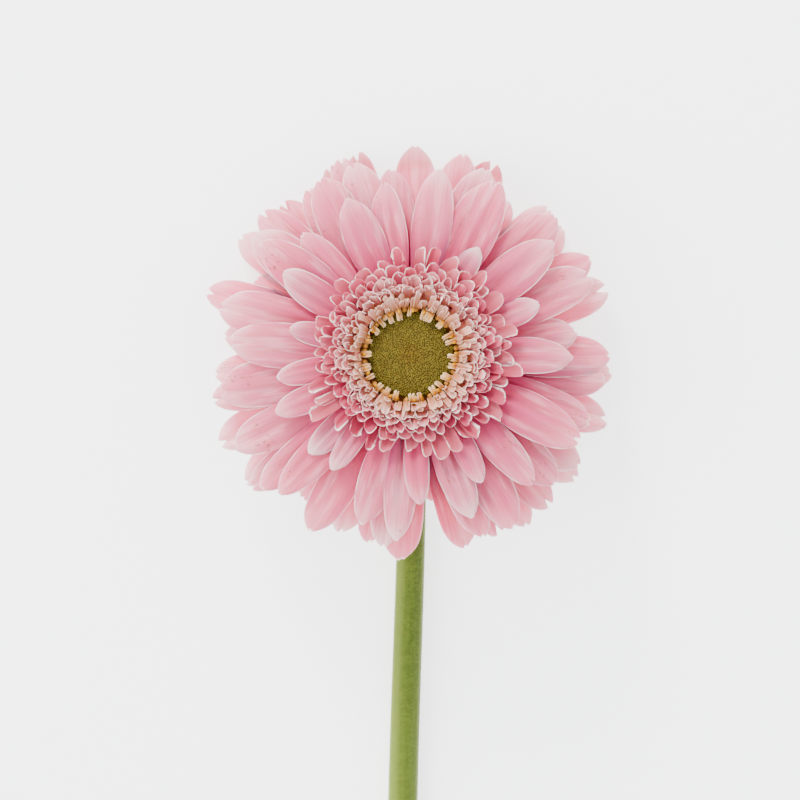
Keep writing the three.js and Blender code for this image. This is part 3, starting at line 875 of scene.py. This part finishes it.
def lip(number, place, rise, fall, width, arch, split, form):
    """One lip or ribbon of an inner floret; place is its bearing and reach."""
    bearing, reach = place
    wave = form["wave"] * sway(number + 5)
    blunt = form["blunt"] + 0.2 * draw(number + 15)
    fold = 0.7 * sway(number + 17)

    def tip(v):
        rounding = blunt * width * held_back(v, 0.95)
        return rounding + split * np.exp(-((v / 0.25) ** 2))

    def relief(u, v):
        waved = wave * u * np.cos(math.pi * (2 * v + u))
        return waved - form["groove"] * np.cos(2 * math.pi * v) + fold * u * np.abs(v)

    return blade(
        number=number,
        bearing=bearing,
        root=lip_root + 1.1 * to_the_left(bearing) + form["loose"] * sway(number + 45),
        reach=reach,
        width=width * (1 + 0.25 * sway(number + 25)),
        thick=LIP_THICK,
        shape=lambda u: 0.66 + 0.34 * np.clip(u, 0, 1) ** 0.7,
        tip=tip,
        tip_share=4,
        roll=form["roll"] * sway(number),
        twist=form["twist"] * sway(number + 35),
        height=lambda u: LIP_TOP + rise * u - fall * u**2,
        arch=lambda u: arch * u,
        relief=relief,
        marks={"ribbon": float(form is RIBBON_FORM)},
        grid=(9, form["columns"]),
    )


# %% [markdown]
# The outer lip ends in five ruffled lobes, each with its own turn, reach and width; together they fill the
# band inside the collar. The inner lip is one ribbon, or two in every fifth floret.

# %% Outer lobes and inner ribbons
OUTER_REACH = 14.7
INNER_REACH = 9.3
RIBBON_RISE = 2.9
RIBBON_ARCH = 0.1
# turn in degrees, how much shorter, rise and width of a floret's outer lobes
OUTER_LOBES = (
    (7, 0.3, 5.0, 1.7), (0, 1.1, 4.0, 1.5), (4, -1.1, 4.6, 1.8), (11.5, -0.5, 4.4, 1.7), (-3, 0.1, 4.8, 1.6),
)


def floret_bearing(i):
    """Bearing of the ith inner floret."""
    return (i + 0.2 * sway(LIP_NUMBERS + i)) * 360 / LIP_COUNT


def outer_lobes(i):
    """The ruffled lobes of the ith floret's outer lip."""
    number, bearing = LIP_NUMBERS + i, floret_bearing(i)
    outer_reach = OUTER_REACH + 0.6 * to_the_left(bearing) + 0.2 * sway(number + 120)
    lobes = []
    for k, (turn, shorter, rise, width) in enumerate(OUTER_LOBES):
        n = number + 160 + 1000 * k
        place = (bearing + turn + 3.5 * sway(n + 50), outer_reach - shorter + 1.4 * sway(n + 58))
        rise += 1.2 * sway(n + 62)
        arch = 0.7 * sway(n + 61)
        split = 0.4 * draw(n + 66)
        lobes.append(lip(n, place, rise, 1.1 + draw(n), width, arch, split, LIP_FORM))
    return lobes


def inner_ribbons(i):
    """The ith floret's inner lip: one ribbon, or two in every fifth floret."""
    number, bearing = LIP_NUMBERS + i, floret_bearing(i)
    inner_reach = INNER_REACH + 1.4 * to_the_left(bearing) + 0.3 * sway(number + 40)
    ribbons = []
    for side in (0, 1) if i % 5 == 1 else (0,):
        n = number + 80 + 300 * side
        place = (bearing + 7.0 * side + 3.0 * sway(n + 60), inner_reach + 0.5 * sway(n) + 0.9 * side)
        fall = 2.2 + 0.9 * draw(n)
        width = 1.35 + 0.5 * draw(n + 65) - 0.4 * side
        split = 0.3 + 0.5 * draw(n + 67)
        ribbons.append(lip(n, place, RIBBON_RISE, fall, width, RIBBON_ARCH, split, RIBBON_FORM))
    return ribbons


lips, ribbons = [], []
for i in range(LIP_COUNT):
    lips += outer_lobes(i)
    ribbons += inner_ribbons(i)
print("inner florets:", LIP_COUNT, "with", len(lips), "lobes and", len(ribbons), "ribbons")

# %% [markdown]
# Lips and ribbons share one finish: cream with a breath of pink, brownish at the base where they leave
# the tube. The tube of stamens is ochre with bright yellow pollen; the florets' own tubes are duller.

# %% Cream, stamen and tube finishes
PINK_STOPS = [(0, "#9a5c30"), (0.3, "#b87656"), (0.6, "#cc8c7c"), (1, "#dfb0a4")]
CREAM_STOPS = [(0, "#965a1c"), (0.3, "#b27c34"), (0.6, "#c4965a"), (1, "#d6b68a")]
POLLEN_GRAINS = 1800.0  # from one side of the ring of stamens to the other


def lip_finish():
    """The inner florets' skin: pinkish on the outer lips, cream on the ribbons, with fine lines."""
    constants = {
        "Roughness": 0.5,
        "IOR": 1.42,
        "Specular IOR Level": 0.25,
        "Subsurface Weight": 0.3,
        "Subsurface Radius": (1.0, 0.6, 0.4),
        "Subsurface Scale": 0.0006,
    }
    material, tree, shader = finish("gerbera_inner_lip", constants)
    pink = add(tree, "ShaderNodeValToRGB", {"Fac": "along"}, stops=PINK_STOPS)
    cream = add(tree, "ShaderNodeValToRGB", {"Fac": "along"}, stops=CREAM_STOPS)
    lines = along_blade(tree, 0.28, 3.0)
    skin = glazed(
        tree,
        add(tree, "ShaderNodeMix", {0: "ribbon", 6: pink, 7: cream}, out=2, data_type="RGBA"),
        ("#a8653c", ("chance", 0, 1, 0, 0.35)),
        ("#a06644", (lines, 0.5, 0.68, 0, 0.45)),
        ("#eed0b2", ("inset_mm", 0.06, 0.2, 0.4, 0)),
    )
    fill(tree, shader, {"Base Color": skin})
    return material


def stamen_finish():
    """Ochre and bright pollen, in grains of about 0.015 mm, too fine to see one by one."""
    constants = {"Roughness": 0.6, "Specular IOR Level": 0.15, "Subsurface Weight": 0.1}
    material, tree, shader = finish("gerbera_stamen", constants)
    pollen = add(tree, "ShaderNodeTexNoise", {"Scale": POLLEN_GRAINS, "Detail": 2.0}, out="Fac")
    fill(tree, shader, {"Base Color": glazed(tree, "#b87000", ("#e29c00", (pollen, 0.4, 0.62)))})
    return material


tube_looks = {"Base Color": "#ac7430", "Roughness": 0.6, "Specular IOR Level": 0.15}
tube_skin = finish("gerbera_floret_tube", tube_looks)[0]

# %% [markdown]
# The tube of stamens is a slim barrel with a domed end that leans a little over the eye. Wider barrels are
# the florets' own tubes, two to each floret, which stand side by side and carry the lips.

# %% Stamens and tubes
STAMEN_RADIUS = 0.42
STAMEN_FOOT = 9.6
STAMEN_TOP = 11.8
TUBE_RADIUS = 0.8
TUBE_FOOT = 6.3
TUBE_TOP = 10.5
TUBE_STEP = 7.5
TUBE_OUT = 12.2


def barrel(foot, top, radius, sides=8):
    """A slim closed barrel with a domed end from foot to top."""
    foot, top = np.array(foot), np.array(top)
    axis = (top - foot) / np.linalg.norm(top - foot)
    side = np.cross(axis, (0.3, 0.2, 1.0))
    side /= np.linalg.norm(side)
    other = np.cross(axis, side)
    rings = [(0, 0.8), (0.45, 1.0), (0.8, 0.95), (0.94, 0.65), (1.0, 0.2)]
    turns = np.arange(sides) * 2 * math.pi / sides
    points = []
    for t, k in rings:
        middle = foot + (top - foot) * t
        points += [middle + radius * k * (side * math.cos(a) + other * math.sin(a)) for a in turns]
    return np.array(points), tube_faces(len(rings), sides), {}


def around(bearing, radius, height):
    """A point of the head's frame by bearing, radius and height."""
    return (radius * math.sin(math.radians(bearing)), radius * math.cos(math.radians(bearing)), height)


stamens, tubes = [], []
for i in range(LIP_COUNT):
    number = LIP_NUMBERS + i
    bearing = floret_bearing(i)
    lean = 4.0 * sway(number + 410)
    reach = 11.0 + 0.4 * sway(number + 430)
    height = STAMEN_TOP + 1.0 * sway(number + 420)
    shift = 0.9 * to_the_left(bearing)
    foot = around(bearing + lean, TUBE_OUT + 0.4 * shift, STAMEN_FOOT)
    stamens.append(barrel(foot, around(bearing + 1.5 * lean, reach + shift, height), STAMEN_RADIUS))
    for step in (0, TUBE_STEP):
        aside = 2 * sway(number + step)
        height = TUBE_TOP + 0.4 * sway(number + 440 + step)
        top = around(bearing + step + aside, 11.6 + 0.7 * shift, height)
        tubes.append(barrel(around(bearing + step, TUBE_OUT, TUBE_FOOT), top, TUBE_RADIUS))

inner_lips = grown("inner_lips", lips + ribbons, lip_finish())
stamen_tubes = grown("stamen_tubes", stamens, stamen_finish())
floret_tubes = grown("floret_tubes", tubes, tube_skin)
for piece in (inner_lips, stamen_tubes, floret_tubes):
    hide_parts("cream_florets")

# %% [markdown]
# The eye is packed with unopened buds. They grow one after another at the golden angle, which spreads
# them evenly and makes the fine crossing spirals; a random scatter would leave gaps and show none. Each
# bud is a small blunt dome about 0.6 mm across, shaken a little off its place and tilted at random, on a
# shallow dome of a floor.

# %% The eye
EYE_RADIUS = 11.2
EYE_TOP = 9.7
EYE_DOME = 1.1
BUD_SPACING = 0.58
BUD_SIDES = 6
GOLDEN = math.radians(137.50776)


def eye_floor(radius):
    """Height of the eye's floor at a distance from its centre."""
    return EYE_TOP - EYE_DOME * (radius / EYE_RADIUS) ** 3


def bud(n, radius, bearing):
    """One dome of three rings and a crown."""
    size = BUD_SPACING * (0.52 + 0.1 * sway(n + 5000))
    tall = 0.17 + 0.17 * draw(n + 6000)
    lean = np.array((sway(n + 7000), sway(n + 8000))) * 0.2
    radius += 0.14 * sway(n + 4000)
    bearing += 0.14 * sway(n + 4500) / max(radius, 1.0)
    turns = np.arange(BUD_SIDES) * math.pi / 3 + draw(n) * 6
    at = np.array((radius * math.sin(bearing), radius * math.cos(bearing), eye_floor(radius)))
    rings = [(1.06, -0.1), (0.92, 0.55), (0.5, 0.92)]
    points = [
        at + (size * k * math.cos(a) + lean[0] * h, size * k * math.sin(a) + lean[1] * h, tall * h)
        for k, h in rings
        for a in turns
    ]
    marks = {
        "crown": np.repeat([0.0, 0.75, 1.0], BUD_SIDES),
        "chance": np.full(len(points), draw(n + 9000)),
        "share": np.full(len(points), radius / EYE_RADIUS),
    }
    return np.array(points), tube_faces(len(rings), BUD_SIDES), marks


bud_count = int((EYE_RADIUS / BUD_SPACING) ** 2 * math.pi)
buds = []
for n in range(bud_count):
    radius = EYE_RADIUS * 0.97 * math.sqrt((n + 0.5) / bud_count)
    buds.append(bud(n, radius, n * GOLDEN))

eye_profile = [(EYE_RADIUS, RAY_CORE_TOP + FIT_GAP), (EYE_RADIUS, eye_floor(EYE_RADIUS) - 0.1)]
eye_profile += [(EYE_RADIUS * k, eye_floor(EYE_RADIUS * k) - 0.1) for k in (0.8, 0.6, 0.4, 0.2, 0.02)]
buds.append(spun(eye_profile, {"crown": 0, "chance": 0.5, "share": 0.5}))

# %% [markdown]
# Bud tips are waxy and olive; between them they are painted darker and browner, as painted shade in the
# crevices. Some are yellower, and the middle of the eye is a little browner than its rim.

# %% Bud finish
# low on each bud darker and browner: painted shade of the crevices between buds
BUD_SHADED_STOPS = [(0, "#4e4012"), (0.6, "#534512"), (1, "#5a4e17")]


def bud_finish():
    """Waxy olive tips over painted shade, darker and browner, between them; some of them yellower."""
    constants = {
        "Roughness": 0.5,
        "IOR": 1.45,
        "Specular IOR Level": 0.12,
        "Subsurface Weight": 0.1,
        "Subsurface Scale": 0.0004,
    }
    material, tree, shader = finish("gerbera_bud", constants)
    skin = glazed(
        tree,
        # painted shade: darker and browner low on each bud, between the tips
        add(tree, "ShaderNodeValToRGB", {"Fac": "crown"}, stops=BUD_SHADED_STOPS),
        ("#6a5e16", ("chance", 0.3, 1, 0, 0.45)),
        ("#5c3e08", ("share", 0, 0.45, 0.4, 0)),
    )
    fill(tree, shader, {"Base Color": skin})
    return material


eye = grown("eye_buds", buds, bud_finish(), crease=80)
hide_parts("eye")

# %% [markdown]
# Under the head, hidden from the front, a cup of green bracts holds the florets. The cup is turned, and
# three whorls of narrow pointed bracts overlap on it like scales.

# %% Bract cup
BRACT_THICK = 0.7
CUP_PROFILE = [(4.8, -12.0), (8.0, -10.5), (11.8, -7.0), (14.8, -3.2), (CUP_RADIUS, CUP_TOP)]
BRACT_WHORLS = [
    {"count": 10, "from": (5.0, -11.6), "to": (14.2, -8.0), "bow": 1.2, "width": 3.8},
    {"count": 14, "from": (7.4, -10.4), "to": (18.0, -5.0), "bow": 1.4, "width": 3.6},
    {"count": 16, "from": (10.8, -7.6), "to": (21.0, -3.4), "bow": 0.8, "width": 3.2},
]


def lance(u):
    """Width along a bract: widest near its foot, running out to a point."""
    return 0.12 + 0.88 * np.sin(math.pi * np.minimum(1, 0.25 + 0.75 * u)) ** 0.8


def bract(whorl, w, i):
    """One bract of whorl w, keeled along its middle."""
    number = 3000 + 50 * w + i
    (root, low), (reach, high) = whorl["from"], whorl["to"]
    return blade(
        number=number,
        bearing=(i + 0.5 * (w % 2) + 0.12 * sway(number)) * 360 / whorl["count"],
        root=root,
        reach=reach + 0.8 * sway(number + 20),
        width=whorl["width"],
        thick=BRACT_THICK,
        shape=lance,
        tip=lambda v: 0 * v,
        height=lambda u: low + (high - low) * u - whorl["bow"] * np.sin(math.pi * u),
        arch=lambda u: 0.5 * (1 - u),
        relief=lambda u, v: -0.25 * (1 - np.abs(v)) ** 2 * (1 - u),
        grid=(12, 7),
    )


cup_parts = [bract(whorl, w, i) for w, whorl in enumerate(BRACT_WHORLS) for i in range(whorl["count"])]
fine_profile = []
for (r0, z0), (r1, z1) in zip(CUP_PROFILE, CUP_PROFILE[1:]):
    fine_profile += [(r0 + (r1 - r0) * k / 4, z0 + (z1 - z0) * k / 4) for k in range(4)]
fine_profile.append(CUP_PROFILE[-1])
cup_parts.append(spun(fine_profile, {**PLAIN_BODY, "along": 0, "chance": 0.5}))

# %% [markdown]
# Bracts are small leaves, so they are matte, with darker veins about half a millimetre apart, a pale thin
# edge and a point that has dried brown. The cup between them has the same green.

# %% Bract finish


def bract_finish():
    """Matte leaf: green with darker veins, a pale edge and a brownish point."""
    constants = {
        "Roughness": 0.55,
        "Specular IOR Level": 0.2,
        "Subsurface Weight": 0.1,
        "Subsurface Scale": 0.0006,
    }
    material, tree, shader = finish("gerbera_bract", constants)
    stops = [(0, "#43561c"), (0.7, "#52682a"), (1, "#6a5430")]
    skin = glazed(
        tree,
        add(tree, "ShaderNodeValToRGB", {"Fac": "along"}, stops=stops),
        ("#384c18", (along_blade(tree, 0.5, 5.0), 0.45, 0.7, 0, 0.5)),
        ("#8a9654", ("inset_mm", 0.1, 0.4, 0.6, 0)),
    )
    fill(tree, shader, {"Base Color": skin})
    return material


cup = grown("bract_scales", cup_parts, bract_finish())
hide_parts("bract_cup")

# %% [markdown]
# The stem is one bare stalk. It comes out of the cup, bends round the neck and lies along the table, a
# little thicker toward the cut. Its section is nearly round with faint ribs. A curve with a bevel would
# make the stalk alone, but the slanted cut, the ribs and the hairs need to know its rings. The line and
# the thickness follow the solid's, with more rings: the solid has twelve flat sides, and the round skin
# runs through the middle of each.

# %% Stem
NECK_RADIUS = 3.85
STEM_FOOT_RADIUS = 5.0
STEM_TOP_DEPTH = 12.3
NECK_BEND = 18.0
STEM_LENGTH = 326.0
STEM_DRIFT = -6.5
STEM_WAVE = 0.7
SOLID_SIDES = 12
CUT_SLANT = 0.9
apothem = math.cos(math.pi / SOLID_SIDES)


def stem_rings(bend_steps, lying_steps):
    """Centre, radius, dip below the horizontal and length so far, for each ring down the stem."""
    turn = math.pi / 2 - FACE_TIP
    top_y = HEAD_AT[1] - STEM_TOP_DEPTH * math.sin(FACE_TIP)
    top_z = HEAD_AT[2] - STEM_TOP_DEPTH * math.cos(FACE_TIP)
    lying_z = top_z - NECK_BEND * (1 - math.cos(turn))
    line = []
    for i in range(bend_steps):
        share = i / (bend_steps - 1)
        dip = turn * (1 - share)
        y = top_y - NECK_BEND * (math.sin(turn) - math.sin(dip))
        z = top_z - NECK_BEND * (math.cos(dip) - math.cos(turn))
        line.append((y, z, dip, share))
    end_y = line[-1][0]
    foot = HEAD_AT[1] - STEM_LENGTH
    line += [(end_y + (foot - end_y) * (i + 1) / lying_steps, lying_z, 0.0, 1.0) for i in range(lying_steps)]
    rings = []
    for y, z, dip, settled in line:
        down = max(0.0, (HEAD_AT[1] - y) / STEM_LENGTH)
        swell = 1 + 0.16 * max(0.0, 1 - settled * 7 / 4) ** 2
        radius = (NECK_RADIUS + (STEM_FOOT_RADIUS - NECK_RADIUS) * down) * swell
        height = z + (apothem * radius - lying_z) * settled
        wave = STEM_WAVE * (1 - down) * math.sin(math.pi * down / 0.3)
        rings.append((HEAD_AT[0] + STEM_DRIFT * down**1.6 + wave, y, height, apothem * radius, dip, down))
    return rings


def stem_point(ring, turn, out, cut=0.0):
    """A point at that turn round a ring, out times its radius from the middle, in mm on the table."""
    x, y, z, radius, dip, _ = ring
    side, up = radius * out * math.sin(turn), radius * out * math.cos(turn)
    return (x + side, y - up * (math.sin(dip) - cut), z + up * math.cos(dip))


def rib(turn, down):
    """Faint ribs, deeper toward the head."""
    return 1 - (0.008 + 0.006 * (1 - down)) * (1 + math.cos(9 * turn + 0.8 * math.sin(6 * down)))


SKIN_SIDES = 72
CUT_RINGS = (0.9, 0.72, 0.5, 0.25)
CUT_HOLLOW = 0.5

rings = stem_rings(bend_steps=24, lying_steps=150)
turns = [2 * math.pi * j / SKIN_SIDES for j in range(SKIN_SIDES)]
skin_points, skin_marks = [], []
for k, ring in enumerate(rings):
    cut = CUT_SLANT if k == len(rings) - 1 else 0.0
    for turn in turns:
        skin_points.append(stem_point(ring, turn, rib(turn, ring[5]), cut))
        skin_marks.append((STEM_LENGTH * ring[5], math.sin(turn), math.cos(turn), 1.0))
for share in CUT_RINGS:
    for turn in turns:
        x, y, z = stem_point(rings[-1], turn, share, CUT_SLANT)
        skin_points.append((x, y + CUT_HOLLOW * (1 - share), z))
        skin_marks.append((STEM_LENGTH, math.sin(turn), math.cos(turn), share))
walls, top, foot = (faces[:, ::-1] for faces in tube_faces(len(skin_points) // SKIN_SIDES, SKIN_SIDES))
skin_marks = dict(zip(("down_mm", "side", "up", "inside"), np.array(skin_marks).T))
stem_part = (np.array(skin_points), [np.roll(walls, 1, axis=1), top, foot], skin_marks)
print("stem:", len(rings), "rings,", round(rings[0][2], 1), "mm high at the cup")

# %% [markdown]
# Stem skin is matte under its down, so it looks velvety: grains about a millimetre wide, softer patches
# of 3 to 6 mm and faint long streaks, a shade yellower low down. The left side, toward the side panel,
# is painted lighter and yellower as painted light. The cut shows the flesh: a green ring under the skin,
# pale wet pith and a looser middle.

# %% Stem finish
STEM_MIDDLE_RADIUS = 4.3
FLESH_STOPS = [(0, "#b9bd80"), (0.3, "#c6ca96"), (0.62, "#a8b465"), (0.85, "#7c8e3c"), (1, "#4a5520")]


def on_skin(tree, round_mm, down_mm, detail):
    """Noise on the stem with grains so wide round it and so long down it."""
    fine = STEM_MIDDLE_RADIUS / round_mm
    return grain(tree, (("side", fine), ("up", fine), ("down_mm", 1 / down_mm)), detail)


def stem_finish():
    """Velvety green skin with painted light on its left side, over pale flesh, which shows where the stem is
    cut.
    """
    constants = {
        "Roughness": 0.6,
        "IOR": 1.45,
        "Specular IOR Level": 0.15,
        "Subsurface Weight": 0.15,
        "Subsurface Scale": 0.001,
        "Sheen Weight": 0.3,
        "Sheen Roughness": 0.5,
        "Sheen Tint": "#c8d08a",
    }
    material, tree, shader = finish("gerbera_stem", constants)
    velvet = on_skin(tree, 1.2, 0.7, 3.0)
    patches = on_skin(tree, 6.0, 3.0, 2.0)
    streaks = on_skin(tree, 1.0, 30.0, 2.0)
    flesh = add(tree, "ShaderNodeValToRGB", {"Fac": "inside"}, stops=FLESH_STOPS)
    skin = glazed(
        tree,
        "#3c4c10",
        ("#4e6018", (velvet, 0.3, 0.7)),
        ("#34430a", (patches, 0.42, 0.66, 0, 0.4)),
        ("#5e7022", (streaks, 0.5, 0.7, 0, 0.25)),
        ("#5c6c1e", ("down_mm", 40, 200, 0, 0.5)),
        # painted light: the left side, toward the side panel, lighter and yellower
        ("#7a8a2e", ("side", 0.2, -1, 0, 0.5)),
        (flesh, ("inside", 0.9, 0.999, 1, 0)),
    )
    bump = add(tree, "ShaderNodeBump", {"Height": velvet, "Strength": 0.4, "Distance": 0.0001})
    fill(tree, shader, {"Base Color": skin, "Normal": bump})
    return material


def on_the_table(points):
    """Millimetres on the table as metres."""
    return np.asarray(points) * MM


stem = grown("stem_stalk", [stem_part], stem_finish(), place=on_the_table, crease=50)
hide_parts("stem")

# %% [markdown]
# Fine pale hairs stand on the stem and soften its edge. Hair curves would be lost on export, so each
# hair is a slender three-sided spike. Real ones are about 0.03 mm thick; these are 0.035 mm at the foot
# so that they show. Those that would stick into the table are left out.

# %% Stem hairs
HAIRS = 26000
HAIR_FOOT = 0.035
HAIR_CORNERS = (0, 2.094, 4.189)  # thirds of a turn
HAIR_WILD = 0.45


def hair(number):
    """One spike on the stem, or None where the table is in the way."""
    k = draw(number) * (len(rings) - 1.001)
    low, share = int(k), k - int(k)
    ring = tuple(a + (b - a) * share for a, b in zip(rings[low], rings[low + 1]))
    turn = 2 * math.pi * draw(number + 0.37)
    foot = np.array(stem_point(ring, turn, 0.985 * rib(turn, ring[5])))
    out = np.array(stem_point(ring, turn, 1.0)) - np.array((ring[0], ring[1], ring[2]))
    out /= np.linalg.norm(out)
    wild = np.array((sway(number + 0.11), sway(number + 0.23), sway(number + 0.41)))
    way = out + HAIR_WILD * wild
    tip = foot + way / np.linalg.norm(way) * (0.3 + 0.5 * draw(number + 0.59))
    if tip[2] < 0.1:
        return None
    side = np.cross(way, (0.21, 0.43, 0.87))
    side /= np.linalg.norm(side)
    other = np.cross(way / np.linalg.norm(way), side)
    base = [foot + HAIR_FOOT / 2 * (side * math.cos(a) + other * math.sin(a)) for a in HAIR_CORNERS]
    return np.array(base + [tip])


spikes = [spike for spike in (hair(n + 1) for n in range(HAIRS)) if spike is not None]
hair_points = np.concatenate(spikes)
hair_faces = np.array([(0, 1, 3), (1, 2, 3), (2, 0, 3), (2, 1, 0)])
hair_faces = (hair_faces[None] + 4 * np.arange(len(spikes))[:, None, None]).reshape(-1, 3)
hair_looks = {"Base Color": "#747f34", "Roughness": 0.5, "Subsurface Weight": 0.2, "Subsurface Scale": 0.0002}
hair_skin = finish("gerbera_stem_hair", hair_looks)[0]
fuzz = grown("stem_hairs", [(hair_points, [hair_faces], {})], hair_skin, place=on_the_table)
